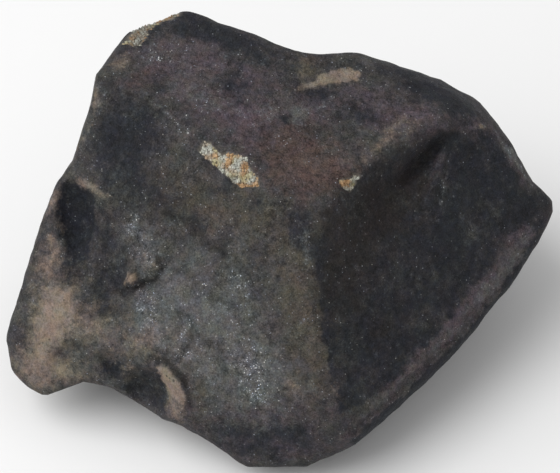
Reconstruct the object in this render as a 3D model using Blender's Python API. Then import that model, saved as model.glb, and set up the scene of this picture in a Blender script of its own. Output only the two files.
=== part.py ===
"""Meteorite fragment: a stony meteorite 66 mm across, one solid piece.

The stone is a broken block. Its flight through the air has rounded the breaks and scooped thumbprint
hollows in them, and a few chips have come off since. It rests on a small flat spot.

Lengths are in millimetres from the heart of the stone, a point well inside it. The side that is seen
is given face-on: u to the right, v up and w towards the viewer. The rest is given as the stone lies:
X to the right, Y away and Z up, which is the face-on frame leaned back by LEAN. The finished stone is
in metres and stands on Z = 0.
"""

import itertools
import math

import bmesh
import bpy
import numpy as np

NAME = "meteorite_fragment"
MM = 0.001

# How the stone lies, the place of its heart in the finished stone, and how far off it is seen from
LEAN = math.radians(45)
HEART = (-0.24, 1.98, 15.0)
VIEW_DISTANCE = 300.0

# How finely it is modelled
BALL_SUBDIVISIONS = 6
FACES_KEPT = 0.46

# How the breaks are rounded into each other, where a higher sharpness means a tighter edge, and the
# width of the rounding at the rim
BREAK_SHARPNESS = 36
RIM_ROUND = 1.8

# The outline seen face-on, by its corners, clockwise from the highest: (u, v)
OUTLINE = (
    (-12.0, 28.7), (-7.4, 26.1), (1.9, 23.3), (9.2, 22.6), (14.2, 21.0), (19.4, 19.3), (24.2, 16.6),
    (27.5, 12.2), (30.3, 7.1), (32.7, 4.8), (32.8, 3.4), (31.1, -0.4), (27.8, -5.4), (22.6, -12.2),
    (16.8, -17.8), (9.0, -24.6), (3.2, -27.2), (-4.0, -27.4), (-8.0, -24.5), (-11.6, -22.4),
    (-14.2, -21.4), (-20.2, -17.7), (-23.6, -17.0), (-28.4, -18.8), (-30.6, -17.8), (-32.5, -15.5),
    (-33.1, -12.0), (-30.7, -4.4), (-28.4, 3.0), (-26.9, 6.8), (-24.9, 9.6), (-22.8, 16.2),
    (-22.1, 19.9), (-18.1, 25.4), (-15.4, 26.9),
)

# The breaks on the side that is seen: facing (u, v, w) and a point on each
SEEN_BREAKS = {
    "top": ((0.10, 0.58, 0.81), (3.6, 3.8, 18.6)),
    "top_edge": ((0.21, 0.88, 0.43), (-2.5, 27.2, 6.2)),
    "left_face": ((-0.33, -0.06, 0.93), (3.6, 3.8, 18.6)),
    "right_face": ((0.54, -0.04, 0.84), (3.6, 3.8, 18.6)),
    "back_rim": ((0.41, 0.78, 0.46), (18.8, 16.1, 8.8)),
    "shoulder": ((0.62, 0.58, 0.52), (21.4, 15.0, 8.6)),
    "nose": ((-0.30, -0.30, 0.90), (-22.6, -9.4, 10.2)),
    "foot": ((0.04, -0.50, 0.86), (-2.4, -19.4, 15.6)),
}

# The breaks out of sight: facing (X, Y, Z) and a point on each
HIDDEN_BREAKS = {
    "back": ((0.20, 0.92, 0.30), (0.0, 17.4, 22.6)),
    "back_middle": ((-0.34, 0.92, 0.05), (-14.0, 17.0, 6.0)),
    "back_low": ((-0.10, 0.80, -0.56), (0.0, 21.0, -3.0)),
    "back_right": ((0.76, 0.60, 0.22), (26.5, 11.4, 12.6)),
    "right_low": ((0.72, 0.42, -0.52), (31.0, 9.0, -4.0)),
    "back_left": ((-0.80, 0.52, 0.12), (-26.0, 8.8, 10.8)),
    "left_low": ((-0.86, 0.20, -0.46), (-33.0, -9.0, -7.0)),
    "under_left": ((-0.22, 0.00, -0.97), (-7.5, 0.0, -15.3)),
    "under_front": ((0.00, -0.14, -0.99), (0.0, -6.5, -15.3)),
    "under_right": ((0.58, -0.05, -0.81), (12.6, 0.0, -15.3)),
    "under_rim": ((0.74, -0.559, -0.375), (24.4, -5.5, -12.0)),
    "under_back": ((0.05, 0.34, -0.94), (0.0, 7.5, -15.3)),
}

# Chips lost since, as flat cuts: facing (u, v, w) and a point on each
CHIPS = {
    "apex_chip": ((-0.26, 0.79, 0.55), (-16.0, 24.2, 6.9)),
}

# Hollows of the seen side: (u, v) as seen, half length, half width, turn in degrees anticlockwise
# from +u, and depth. A swelling has a depth below zero.
SEEN_MARKS = {
    "left_hollow": ((-24.4, 2.6), 5.3, 2.5, 97, 2.5),
    "hollow_side": ((-21.0, -0.2), 4.6, 3.2, 112, 1.0),
    "lower_lobe": ((-24.4, -3.8), 2.4, 1.8, 60, 0.8),
    "middle_hollow": ((-21.4, -5.2), 4.2, 2.2, 168, 1.1),
    "small_pit": ((-20.2, -15.2), 2.1, 1.4, 136, 1.1),
    "rim_pit": ((-15.8, -18.1), 4.2, 2.8, 135, 2.4),
    "pit_ridge": ((-12.3, -16.9), 2.8, 1.0, 127, -0.9),
    "knob": ((-17.9, -4.8), 1.1, 0.8, 70, -0.9),
    "pale_bump": ((-15.9, -3.4), 1.8, 1.2, 20, -0.5),
    "knob_crease": ((-15.8, -5.5), 2.4, 0.6, 4, 0.35),
    "edge_groove": ((17.2, 9.4), 5.0, 1.5, 47, 1.3),
    "edge_valley": ((14.6, 5.6), 8.0, 4.2, 45, 1.4),
    "valley_ridge": ((19.4, 7.4), 4.0, 1.1, 74, -0.5),
    "right_flute": ((24.6, 7.6), 5.6, 3.0, 128, 0.8),
    "shoulder_swell": ((19.0, 14.2), 4.6, 2.4, 15, -0.9),
    "rim_swell": ((18.9, -12.3), 16.0, 1.3, 48, -0.35),
    "middle_dip": ((-11.5, -10.8), 1.8, 0.8, 100, 0.5),
    "small_bump": ((-11.6, -11.9), 1.1, 0.5, 75, -0.35),
    "main_scar": ((-6.2, 8.9), 4.6, 1.6, 142, 0.5),
    "edge_scar": ((8.0, 7.0), 1.1, 0.6, 35, 0.4),
}

# Hollows out of sight: the way to each from the heart, (X, Y, Z), its radius and its depth
HIDDEN_MARKS = {
    "back_thumb": ((0.15, 1.0, 0.75), 8.5, 2.6),
    "back_thumb_left": ((-0.55, 1.0, 0.25), 8.0, 2.4),
    "back_thumb_low": ((0.35, 1.0, -0.05), 8.5, 2.4),
    "back_thumb_right": ((1.0, 0.75, 0.30), 6.5, 1.8),
    "left_thumb": ((-1.0, 0.25, 0.05), 6.0, 1.5),
    "under_thumb": ((-0.8, -0.3, -0.5), 6.0, 1.2),
    "right_thumb": ((1.0, -0.1, -0.45), 7.0, 1.5),
    "low_thumb": ((-0.2, 0.8, -0.75), 6.0, 1.2),
}

# The unevenness of the crust: how far apart its swells are and their height
UNEVENNESS = ((9.0, 0.9), (4.5, 0.45))
FINE_UNEVENNESS = (2.2, 0.2)


def unit(vector):
    """The direction of a vector, or of each row of an array of them."""
    vector = np.asarray(vector, float)
    return vector / np.linalg.norm(vector, axis=-1, keepdims=True)


def face_on(places):
    """Places given as the stone lies, in the face-on frame."""
    x, y, z = np.asarray(places, float).T
    v = y * math.sin(LEAN) + z * math.cos(LEAN)
    w = z * math.sin(LEAN) - y * math.cos(LEAN)
    return np.stack([x, v, w], axis=-1)


def lying(points):
    """Face-on points in the finished stone's frame."""
    u, v, w = points.T
    y = v * math.sin(LEAN) - w * math.cos(LEAN)
    z = v * math.cos(LEAN) + w * math.sin(LEAN)
    return np.stack([u, y, z], axis=-1) + HEART


def cross(first, second):
    """The cross product of pairs of plane vectors."""
    return first[:, 0] * second[:, 1] - first[:, 1] * second[:, 0]


def outline_share(directions):
    """The share of the way to the outline that each direction goes across the view."""
    corners = np.array(sorted(OUTLINE, key=lambda corner: math.atan2(corner[1], corner[0])))
    at = np.arctan2(corners[:, 1], corners[:, 0])
    run = np.searchsorted(at, np.arctan2(directions[:, 1], directions[:, 0])) - 1
    start, end = corners[run], corners[(run + 1) % len(corners)]
    return cross(directions, end - start) / cross(start, end)


def soft_least(a, b, width):
    """The lesser of two lengths, rounded where they come within width of each other."""
    near = np.clip(1 - np.abs(a - b) / width, 0, None)
    return np.minimum(a, b) - width / 4 * near**2


def noise_table():
    """The random slopes that the noise is made from, and the shuffle that picks them."""
    picker = np.random.default_rng(11)
    return unit(picker.normal(size=(256, 3))), picker.permutation(256)


SLOPES, SHUFFLE = noise_table()


def noise(points):
    """Smooth noise between about -0.7 and 0.7: random slopes on a unit lattice, eased into each other."""
    cell = np.floor(points).astype(int)
    inside = points - cell
    ease = inside**3 * (inside * (inside * 6 - 15) + 10)
    total = np.zeros(len(points))
    for step in itertools.product((0, 1), repeat=3):
        x, y, z = ((cell + step) & 255).T
        slope = SLOPES[SHUFFLE[(SHUFFLE[(SHUFFLE[x] + y) & 255] + z) & 255]]
        total += np.where(step, ease, 1 - ease).prod(axis=1) * ((inside - step) * slope).sum(axis=1)
    return total


def block(directions):
    """The radius of the broken block: the breaks' planes, rounded together, inside the outline."""
    breaks = [(unit(facing), np.array(through)) for facing, through in SEEN_BREAKS.values()]
    breaks += [(face_on(unit(facing)), face_on(through)) for facing, through in HIDDEN_BREAKS.values()]
    gauge = np.zeros(len(directions))
    for facing, through in breaks:
        gauge += np.clip(directions @ facing / (facing @ through), 0, None) ** BREAK_SHARPNESS
    planes = gauge ** (-1 / BREAK_SHARPNESS)
    for size, height in UNEVENNESS:
        planes += height * noise(directions * (planes / size)[:, None])
    rim = outline_share(directions) + directions[:, 2] / VIEW_DISTANCE
    return soft_least(planes, 1 / np.clip(rim, 0.01, None), RIM_ROUND)


def bowl(fall, depth, edge=0.25):
    """A bowl's depth where fall goes from 1 at its centre through 0 at its rim, softened over edge."""
    deep = abs(depth) * fall
    shape = (deep + np.sqrt(deep**2 + edge**2)) / 2 * np.clip(fall + 3, 0, 1)
    return math.copysign(1, depth) * shape


def carve_seen_marks(points, directions):
    """Sinks the seen side's hollows straight away from the viewer, so that they stay in their places."""
    front = np.clip((directions[:, 2] - 0.05) / 0.2, 0, 1)
    for centre, length, width, turn, depth in SEEN_MARKS.values():
        turn = math.radians(turn)
        seen = points[:, :2] * (VIEW_DISTANCE / (VIEW_DISTANCE - points[:, 2]))[:, None] - centre
        along = seen @ (math.cos(turn), math.sin(turn)) / length
        aside = seen @ (-math.sin(turn), math.cos(turn)) / width
        points[:, 2] -= front * bowl(1 - along**2 - aside**2, depth)


def carve_hidden_marks(points, directions):
    """Sinks the hollows out of sight towards the heart."""
    for towards, radius, depth in HIDDEN_MARKS.values():
        away = np.linalg.norm(directions - face_on(unit(towards)), axis=1)
        away *= np.linalg.norm(points, axis=1) / radius
        points -= directions * bowl(1 - away**2, depth)[:, None]


def surface(directions):
    """The stone's surface in each direction from its heart, face-on."""
    points = directions * block(directions)[:, None]
    carve_seen_marks(points, directions)
    carve_hidden_marks(points, directions)
    size, height = FINE_UNEVENNESS
    points += directions * height * noise(points / size)[:, None]
    for facing, through in CHIPS.values():
        over = (points - through) @ unit(facing)
        points *= (1 - np.clip(over, 0, None) / (over + unit(facing) @ through))[:, None]
    return points


def crust():
    """The dark, dull crust that the outside melted to."""
    material = bpy.data.materials.new("fusion_crust")
    material.use_nodes = True
    shader = material.node_tree.nodes["Principled BSDF"]
    shader.inputs["Base Color"].default_value = (0.042, 0.038, 0.040, 1)
    shader.inputs["Roughness"].default_value = 0.5
    shader.inputs["Metallic"].default_value = 0.0
    return material


def shape_stone(mesh):
    """A ball with each of its points moved out to the stone's surface."""
    bm = bmesh.new()
    bmesh.ops.create_icosphere(bm, subdivisions=BALL_SUBDIVISIONS, radius=1)
    directions = unit([vertex.co for vertex in bm.verts])
    for vertex, place in zip(bm.verts, lying(surface(directions)) * MM):
        vertex.co = place
    bm.to_mesh(mesh)
    bm.free()


def thin_out(stone):
    """Keeps the share of the faces that the shape needs, most of them where it bends most."""
    stone.modifiers.new("Thin", "DECIMATE").ratio = FACES_KEPT
    graph = bpy.context.evaluated_depsgraph_get()
    thinned = bpy.data.meshes.new_from_object(stone.evaluated_get(graph))
    stone.modifiers.clear()
    old, stone.data = stone.data, thinned
    bpy.data.meshes.remove(old)


def flatten_foot(mesh):
    """Cuts the lowest part off level, for the flat spot that the stone rests on."""
    bm = bmesh.new()
    bm.from_mesh(mesh)
    every = bm.verts[:] + bm.edges[:] + bm.faces[:]
    bmesh.ops.bisect_plane(bm, geom=every, plane_co=(0, 0, 0), plane_no=(0, 0, -1), clear_outer=True)
    bmesh.ops.contextual_create(bm, geom=[edge for edge in bm.edges if edge.is_boundary])
    for vertex in bm.verts:
        if vertex.co.z < 0.001 * MM:
            vertex.co.z = 0
    bm.to_mesh(mesh)
    bm.free()


def build_stone(collection):
    stone = bpy.data.objects.new(NAME, bpy.data.meshes.new(NAME))
    collection.objects.link(stone)
    shape_stone(stone.data)
    thin_out(stone)
    flatten_foot(stone.data)
    stone.data.name = NAME
    stone.data.materials.append(crust())
    stone.data.shade_smooth()
    stone.data.set_sharp_from_angle(angle=math.radians(60))


def main():
    for obj in list(bpy.data.objects):
        bpy.data.objects.remove(obj)
    collection = bpy.data.collections.new(NAME)
    bpy.context.scene.collection.children.link(collection)
    build_stone(collection)


main()
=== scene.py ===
"""The looks of the meteorite fragment: the stone's crust, its dust, its chips and the floor under it.

The stone is worked out in millimetres from its heart, a point well inside it, in the frame in which it
is seen face-on: u to the right, v up and w towards the viewer. That frame is leaned back by LEAN to lie
on the floor.
"""

import itertools
import math

import bpy
import numpy as np
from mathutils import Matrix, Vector


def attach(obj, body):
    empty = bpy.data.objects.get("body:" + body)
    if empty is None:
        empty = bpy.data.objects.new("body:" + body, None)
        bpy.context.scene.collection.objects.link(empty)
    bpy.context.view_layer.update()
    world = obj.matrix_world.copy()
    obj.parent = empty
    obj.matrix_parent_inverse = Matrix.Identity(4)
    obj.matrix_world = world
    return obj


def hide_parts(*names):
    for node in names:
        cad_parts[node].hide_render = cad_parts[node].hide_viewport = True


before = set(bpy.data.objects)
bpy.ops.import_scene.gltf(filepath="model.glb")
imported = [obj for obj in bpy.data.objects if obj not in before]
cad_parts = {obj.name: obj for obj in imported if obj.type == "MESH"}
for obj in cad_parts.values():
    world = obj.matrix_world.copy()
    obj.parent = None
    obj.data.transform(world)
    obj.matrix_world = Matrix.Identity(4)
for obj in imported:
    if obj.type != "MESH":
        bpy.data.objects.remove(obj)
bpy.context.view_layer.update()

# The stone: one block of stony meteorite. Flight through the air melted its breaks into a thin dark
# crust, rounded them and scooped thumbprint hollows, and chips have come off since. It lies loose on a
# small flat spot.

# A millimetre in metres, how far the seen side leans back, where the heart is, as the stone lies, and
# how far away the viewer is
MM = 0.001
LEAN = math.radians(45)
HEART = (-0.24, 1.98, 15.0)
VIEW_DISTANCE = 300.0

# How the breaks are rounded into each other, where a higher sharpness means a tighter edge, and the
# width of the rounding at the rim
BREAK_SHARPNESS = 36
RIM_ROUND = 1.8

# How much the whole is drawn in, so that the fine crust stays within the plain solid's size
DRAWN_IN = 0.998

# The outline seen face-on, by its corners, clockwise from the highest: (u, v)
OUTLINE = (
    (-12.0, 28.7), (-7.4, 26.1), (1.9, 23.3), (9.2, 22.6), (14.2, 21.0), (19.4, 19.3), (24.2, 16.6),
    (27.5, 12.2), (30.3, 7.1), (32.7, 4.8), (32.8, 3.4), (31.1, -0.4), (27.8, -5.4), (22.6, -12.2),
    (16.8, -17.8), (9.0, -24.6), (3.2, -27.2), (-4.0, -27.4), (-8.0, -24.5), (-11.6, -22.4),
    (-14.2, -21.4), (-20.2, -17.7), (-23.6, -17.0), (-28.4, -18.8), (-30.6, -17.8), (-32.5, -15.5),
    (-33.1, -12.0), (-30.7, -4.4), (-28.4, 3.0), (-26.9, 6.8), (-24.9, 9.6), (-22.8, 16.2),
    (-22.1, 19.9), (-18.1, 25.4), (-15.4, 26.9),
)

# The breaks on the side that is seen: facing (u, v, w) and a point on each
SEEN_BREAKS = {
    "top": ((0.10, 0.58, 0.81), (3.6, 3.8, 18.6)),
    "top_edge": ((0.21, 0.88, 0.43), (-2.5, 27.2, 6.2)),
    "left_face": ((-0.33, -0.06, 0.93), (3.6, 3.8, 18.6)),
    "right_face": ((0.54, -0.04, 0.84), (3.6, 3.8, 18.6)),
    "back_rim": ((0.41, 0.78, 0.46), (18.8, 16.1, 8.8)),
    "shoulder": ((0.62, 0.58, 0.52), (21.4, 15.0, 8.6)),
    "nose": ((-0.30, -0.30, 0.90), (-22.6, -9.4, 10.2)),
    "foot": ((0.04, -0.50, 0.86), (-2.4, -19.4, 15.6)),
}

# The breaks out of sight: facing (X, Y, Z) and a point on each
HIDDEN_BREAKS = {
    "back": ((0.20, 0.92, 0.30), (0.0, 17.4, 22.6)),
    "back_middle": ((-0.34, 0.92, 0.05), (-14.0, 17.0, 6.0)),
    "back_low": ((-0.10, 0.80, -0.56), (0.0, 21.0, -3.0)),
    "back_right": ((0.76, 0.60, 0.22), (26.5, 11.4, 12.6)),
    "right_low": ((0.72, 0.42, -0.52), (31.0, 9.0, -4.0)),
    "back_left": ((-0.80, 0.52, 0.12), (-26.0, 8.8, 10.8)),
    "left_low": ((-0.86, 0.20, -0.46), (-33.0, -9.0, -7.0)),
    "under_left": ((-0.22, 0.00, -0.97), (-7.5, 0.0, -15.3)),
    "under_front": ((0.00, -0.14, -0.99), (0.0, -6.5, -15.3)),
    "under_right": ((0.58, -0.05, -0.81), (12.6, 0.0, -15.3)),
    "under_rim": ((0.74, -0.559, -0.375), (24.4, -5.5, -12.0)),
    "under_back": ((0.05, 0.34, -0.94), (0.0, 7.5, -15.3)),
}

# Hollows of the seen side: (u, v) as seen, half length, half width, turn in degrees anticlockwise
# from +u, and depth. A swelling has a depth below zero.
SEEN_MARKS = {
    "left_hollow": ((-24.4, 2.6), 5.3, 2.5, 97, 2.5),
    "hollow_side": ((-21.0, -0.2), 4.6, 3.2, 112, 1.0),
    "lower_lobe": ((-24.4, -3.8), 2.4, 1.8, 60, 0.8),
    "middle_hollow": ((-21.4, -5.2), 4.2, 2.2, 168, 1.1),
    "small_pit": ((-20.2, -15.2), 2.1, 1.4, 136, 1.1),
    "rim_pit": ((-15.8, -18.2), 3.8, 2.6, 135, 2.4),
    "pit_ridge": ((-12.3, -16.9), 2.8, 1.0, 127, -0.9),
    "knob": ((-17.9, -4.8), 1.1, 0.8, 70, -0.9),
    "pale_bump": ((-15.9, -3.4), 1.8, 1.2, 20, -0.5),
    "knob_crease": ((-15.4, -5.3), 2.2, 0.6, 14, 0.45),
    "edge_groove": ((17.0, 9.6), 4.8, 1.3, 47, 1.6),
    "edge_valley": ((14.6, 5.6), 8.0, 4.2, 45, 1.4),
    "valley_ridge": ((18.9, 7.6), 4.0, 0.8, 74, -0.7),
    "right_flute": ((24.6, 7.6), 5.6, 3.0, 128, 0.8),
    "shoulder_swell": ((19.0, 14.2), 4.6, 2.4, 15, -0.9),
    "rim_swell": ((18.9, -12.3), 16.0, 1.3, 48, -0.35),
    "middle_dip": ((-11.5, -10.8), 1.8, 0.8, 100, 0.5),
    "small_bump": ((-11.6, -11.9), 1.1, 0.5, 75, -0.35),
}

# Fine creases of the seen side: how wide to either side, how deep, and the places each runs through,
# (u, v) as seen
CREASES = {
    "knob": (0.45, 0.35, (
        (-18.9, -6.3), (-18.0, -6.2), (-17.2, -5.6), (-16.4, -5.1), (-15.3, -4.9), (-14.5, -4.2),
        (-14.2, -3.2), (-14.5, -2.2),
    )),
    "bump": (0.45, 0.3, ((-11.9, -8.6), (-11.2, -9.4), (-10.6, -10.6), (-10.5, -11.8), (-10.9, -12.9))),
    "pit_ridge": (0.45, 0.3, (
        (-15.4, -14.4), (-13.8, -14.7), (-12.4, -15.8), (-11.4, -17.2), (-10.9, -18.8), (-11.0, -20.4),
    )),
    "nose": (0.5, 0.25, ((-27.9, -14.6), (-26.6, -13.2), (-25.2, -12.4), (-23.9, -12.6))),
    "nose_low": (0.4, 0.2, ((-28.6, -16.4), (-27.2, -15.0), (-25.8, -14.6))),
    "hollow": (0.5, 0.2, ((-23.6, -8.9), (-21.8, -8.8), (-20.2, -8.3))),
    "face": (0.5, 0.22, ((-13.6, 3.4), (-10.8, 1.8), (-8.6, -0.4), (-6.8, -1.6))),
    "face_middle": (0.5, 0.2, ((-12.6, -3.2), (-9.8, -4.8), (-8.2, -6.8), (-5.4, -8.0))),
    "face_low": (0.5, 0.2, ((-9.6, -11.2), (-7.2, -13.4), (-6.2, -15.8))),
    "wall_foot": (0.5, 0.15, ((8.2, 5.6), (11.0, 8.6), (14.2, 10.9), (17.2, 12.6), (20.6, 13.0))),
    "right_edge": (0.5, 0.25, ((30.6, 0.4), (26.8, -4.8), (21.6, -11.2), (15.8, -16.8), (9.0, -22.8))),
}

# Hollows out of sight: the way to each from the heart, (X, Y, Z), its radius and its depth
HIDDEN_MARKS = {
    "back_thumb": ((0.15, 1.0, 0.75), 8.5, 2.6),
    "back_thumb_left": ((-0.55, 1.0, 0.25), 8.0, 2.4),
    "back_thumb_low": ((0.35, 1.0, -0.05), 8.5, 2.4),
    "back_thumb_right": ((1.0, 0.75, 0.30), 6.5, 1.8),
    "left_thumb": ((-1.0, 0.25, 0.05), 6.0, 1.5),
    "under_thumb": ((-0.8, -0.3, -0.5), 6.0, 1.2),
    "right_thumb": ((1.0, -0.1, -0.45), 7.0, 1.5),
    "low_thumb": ((-0.2, 0.8, -0.75), 6.0, 1.2),
}

# The chips: the corner at the top left broke off flat, facing (u, v, w) through a point, and crust
# flaked off inside these corners, (u, v) as seen, to a depth
APEX_CUT = ((-0.26, 0.79, 0.55), (-16.0, 24.2, 6.9))
FLAKES = {
    "main_scar": (
        (-10.0, 11.0), (-9.1, 12.1), (-8.5, 11.9), (-7.4, 10.7), (-5.2, 10.5), (-4.0, 10.0),
        (-3.7, 8.9), (-2.6, 7.6), (-2.5, 6.5), (-4.9, 6.5), (-6.8, 8.1), (-8.7, 9.7),
    ),
    "edge_scar": ((7.1, 7.3), (7.9, 7.6), (8.9, 7.6), (9.3, 7.0), (8.4, 5.9), (7.4, 6.4)),
    "edge_bit": ((8.8, 8.1), (9.5, 8.1), (9.5, 7.4), (8.8, 7.4)),
    "apex_scar": (
        (-19.0, 23.7), (-18.2, 24.8), (-17.4, 25.9), (-16.9, 26.6), (-15.4, 26.8), (-13.6, 27.4),
        (-12.2, 28.0), (-12.0, 27.2), (-13.8, 26.5), (-15.2, 25.9), (-15.9, 25.2), (-16.2, 24.3),
        (-16.8, 23.7), (-17.9, 23.5),
    ),
}

# How deep crust flaked off, the width of the step at a flake's edge, how ragged the edge is, by the
# size of the raggedness, and how far apart the dips in a flake's floor are
FLAKE_DEPTH = 0.45
FLAKE_EDGE = 0.16
FLAKE_RAGGEDNESS = ((0.7, 0.25), (0.35, 0.12))
FLAKE_DIPS = 0.5

# The unevenness of the crust: how far apart its swells are and their height, from the swells that
# bend the whole faces down to the grain of the crust
SWELLS = ((9.0, 0.9), (4.5, 0.45))
RIPPLES = ((2.2, 0.2),)
GRAIN = ((1.1, 0.05), (0.62, 0.035))

# How the creases and the edges of patches wander: the size of each wandering and how far it goes
WANDERING = ((2.4, 0.6), (1.0, 0.45), (0.5, 0.3))

# Where the seen side ends, as a direction's w and how much further it takes to set in: for its marks
# and for the films on it
MARKS_RIM = (0.05, 0.2)
FILMS_RIM = (-0.04, 0.1)

# The grid: cells along each side of the cube that is drawn out to the stone, and how much finer it is
# on the side that is seen
CELLS = 127
FINER_IN_FRONT = 0.3


def unit(vector):
    """The direction of a vector, or of each row of an array of them."""
    vector = np.asarray(vector, float)
    return vector / np.linalg.norm(vector, axis=-1, keepdims=True)


def face_on(places):
    """Places given as the stone lies, in the face-on frame."""
    x, y, z = np.asarray(places, float).T
    v = y * math.sin(LEAN) + z * math.cos(LEAN)
    w = z * math.sin(LEAN) - y * math.cos(LEAN)
    return np.stack([x, v, w], axis=-1)


def lying(points):
    """Face-on directions or points from the heart, as the stone lies."""
    u, v, w = np.asarray(points, float).T
    y = v * math.sin(LEAN) - w * math.cos(LEAN)
    z = v * math.cos(LEAN) + w * math.sin(LEAN)
    return np.stack([u, y, z], axis=-1)


def ball_grid(cells, shift=0.0):
    """Directions that cover a ball, and the square faces between them, all facing out.

    Each of a cube's six sides is a grid of a and b, equal steps from -45 to 45 degrees, at the places
    (1, tan a, tan b), turned to its own side. Each place is drawn in to the ball of radius 1, the ball
    is moved shift along w, and a direction is the way from the centre to a place on it. The sides'
    shared points are made one.
    """
    steps = np.tan(np.linspace(-math.pi / 4, math.pi / 4, cells + 1))
    a, b = np.meshgrid(steps, steps, indexing="ij")
    one = np.ones_like(a)
    sides = [np.roll(side, k, axis=0) for k in range(3) for side in ([one, a, b], [-one, b, a])]
    places = np.moveaxis(np.array(sides), 1, -1).reshape(-1, 3)
    at = np.arange(len(places)).reshape(6, cells + 1, cells + 1)
    faces = np.stack([at[:, :-1, :-1], at[:, 1:, :-1], at[:, 1:, 1:], at[:, :-1, 1:]], axis=-1)
    _, first, shared = np.unique(np.round(places, 6), axis=0, return_index=True, return_inverse=True)
    directions = unit(unit(places[first]) + (0, 0, shift))
    return directions, shared.reshape(-1)[faces].reshape(-1, 4)


def cross(first, second):
    """The cross product of pairs of plane vectors."""
    return first[..., 0] * second[..., 1] - first[..., 1] * second[..., 0]


def outline_share(directions):
    """The share of the way to the outline that each direction goes across the view."""
    corners = np.array(sorted(OUTLINE, key=lambda corner: math.atan2(corner[1], corner[0])))
    at = np.arctan2(corners[:, 1], corners[:, 0])
    run = np.searchsorted(at, np.arctan2(directions[:, 1], directions[:, 0])) - 1
    start, end = corners[run], corners[(run + 1) % len(corners)]
    return cross(directions, end - start) / cross(start, end)


def soft_least(a, b, width):
    """The lesser of two lengths, rounded where they come within width of each other."""
    near = np.clip(1 - np.abs(a - b) / width, 0, None)
    return np.minimum(a, b) - width / 4 * near**2


# The noise repeats after this many steps of its lattice
LATTICE = 256
picker = np.random.default_rng(11)
slopes, shuffle = unit(picker.normal(size=(LATTICE, 3))), picker.permutation(LATTICE)


def noise(points, start=0.0):
    """Smooth noise between about -0.7 and 0.7: random slopes on a unit lattice, eased into each other.

    Another start gives another stretch of it.
    """
    points = points + start
    cell = np.floor(points).astype(int)
    inside = points - cell
    ease = inside**3 * (inside * (inside * 6 - 15) + 10)
    total = np.zeros(len(points))
    for step in itertools.product((0, 1), repeat=3):
        x, y, z = ((cell + step) % LATTICE).T
        slope = slopes[shuffle[(shuffle[(shuffle[x] + y) % LATTICE] + z) % LATTICE]]
        total += np.where(step, ease, 1 - ease).prod(axis=1) * ((inside - step) * slope).sum(axis=1)
    return total


def block(directions):
    """The radius of the broken block: the breaks' planes, rounded together, inside the outline.

    A plane through p facing n lies n.p / n.d away in the direction d. The planes' inverse distances
    are summed to the power BREAK_SHARPNESS, which keeps to the nearest plane and rounds where two meet.
    """
    breaks = [(unit(facing), np.array(through)) for facing, through in SEEN_BREAKS.values()]
    breaks += [(face_on(unit(facing)), face_on(through)) for facing, through in HIDDEN_BREAKS.values()]
    gauge = np.zeros(len(directions))
    for facing, through in breaks:
        gauge += np.clip(directions @ facing / (facing @ through), 0, None) ** BREAK_SHARPNESS
    planes = gauge ** (-1 / BREAK_SHARPNESS)
    for size, height in SWELLS:
        planes += height * noise(directions * (planes / size)[:, None])
    rim = outline_share(directions) + directions[:, 2] / VIEW_DISTANCE
    return soft_least(planes, 1 / np.clip(rim, 0.01, None), RIM_ROUND)


def as_seen(points):
    """Where the viewer sees points: their (u, v), drawn out with nearness."""
    return points[:, :2] * (VIEW_DISTANCE / (VIEW_DISTANCE - points[:, 2]))[:, None]


def wandered(points):
    """Where the viewer sees points, moved about by noise."""
    seen = as_seen(points)
    for size, far in WANDERING:
        seen += far * np.stack([noise(points / size), noise(points / size, 9)], axis=-1)
    return seen


def seen_share(directions, rim):
    """1 on the side that is seen and 0 behind it, with a straight slope between them at the rim."""
    start, width = rim
    return np.clip((directions[:, 2] - start) / width, 0, 1)


def oval(seen, centre, length, width, turn):
    """How far out each seen point is from an oval's centre, squared, with 1 at the oval's edge."""
    turn = math.radians(turn)
    along = (seen - centre) @ (math.cos(turn), math.sin(turn)) / length
    aside = (seen - centre) @ (-math.sin(turn), math.cos(turn)) / width
    return along**2 + aside**2


def bowl(fall, depth, edge=0.25, reach=3):
    """A bowl's depth, depth times fall, where fall is 1 at its centre and 0 at its rim.

    It is softened over edge at the rim, and nothing is left of it where fall is under -reach.
    """
    deep = abs(depth) * fall
    shape = (deep + np.sqrt(deep**2 + edge**2)) / 2 * np.clip(fall + reach, 0, 1)
    return math.copysign(1, depth) * shape


def away_from(seen, starts, ends):
    """How far each seen point is from the nearest of the straight lines from starts to ends."""
    off, run = seen[:, None] - starts, ends - starts
    share = np.clip((off * run).sum(axis=-1) / (run**2).sum(axis=-1), 0, 1)
    return np.linalg.norm(off - share[..., None] * run, axis=-1).min(axis=1)


def crease_depth(points):
    """How deep the creases are at each point: depth exp(-a squared), a widths off a crease's line."""
    seen, deep = wandered(points), np.zeros(len(points))
    for width, depth, places in CREASES.values():
        places = np.array(places)
        away = away_from(seen, places[:-1], places[1:]) / width
        deep = np.maximum(deep, depth * np.exp(-(away**2)))
    return deep


def depth_inside(seen, corners):
    """How far inside a straight-sided shape each seen point is, less than 0 outside it.

    The size is the distance to the nearest side. A point is inside where a line from it towards +u
    crosses an odd number of sides.
    """
    start = np.array(corners)
    end = np.roll(start, -1, axis=0)
    off, side = seen[:, None] - start, end - start
    level = (off[..., 1] < 0) != (off[..., 1] < side[:, 1])
    before = (cross(side, off) > 0) == (side[:, 1] > 0)
    return away_from(seen, start, end) * np.where((level & before).sum(axis=1) % 2 == 1, 1, -1)


def bare_share(points, directions):
    """How bare of crust the stone is at each point: 1 inside a chip and 0 outside, with ragged edges."""
    ragged = sum(height * noise(points / size) for size, height in FLAKE_RAGGEDNESS)
    inside = np.max([depth_inside(as_seen(points), corners) for corners in FLAKES.values()], axis=0)
    return np.clip((inside + ragged) / FLAKE_EDGE + 0.5, 0, 1) * (directions[:, 2] > 0)


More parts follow.
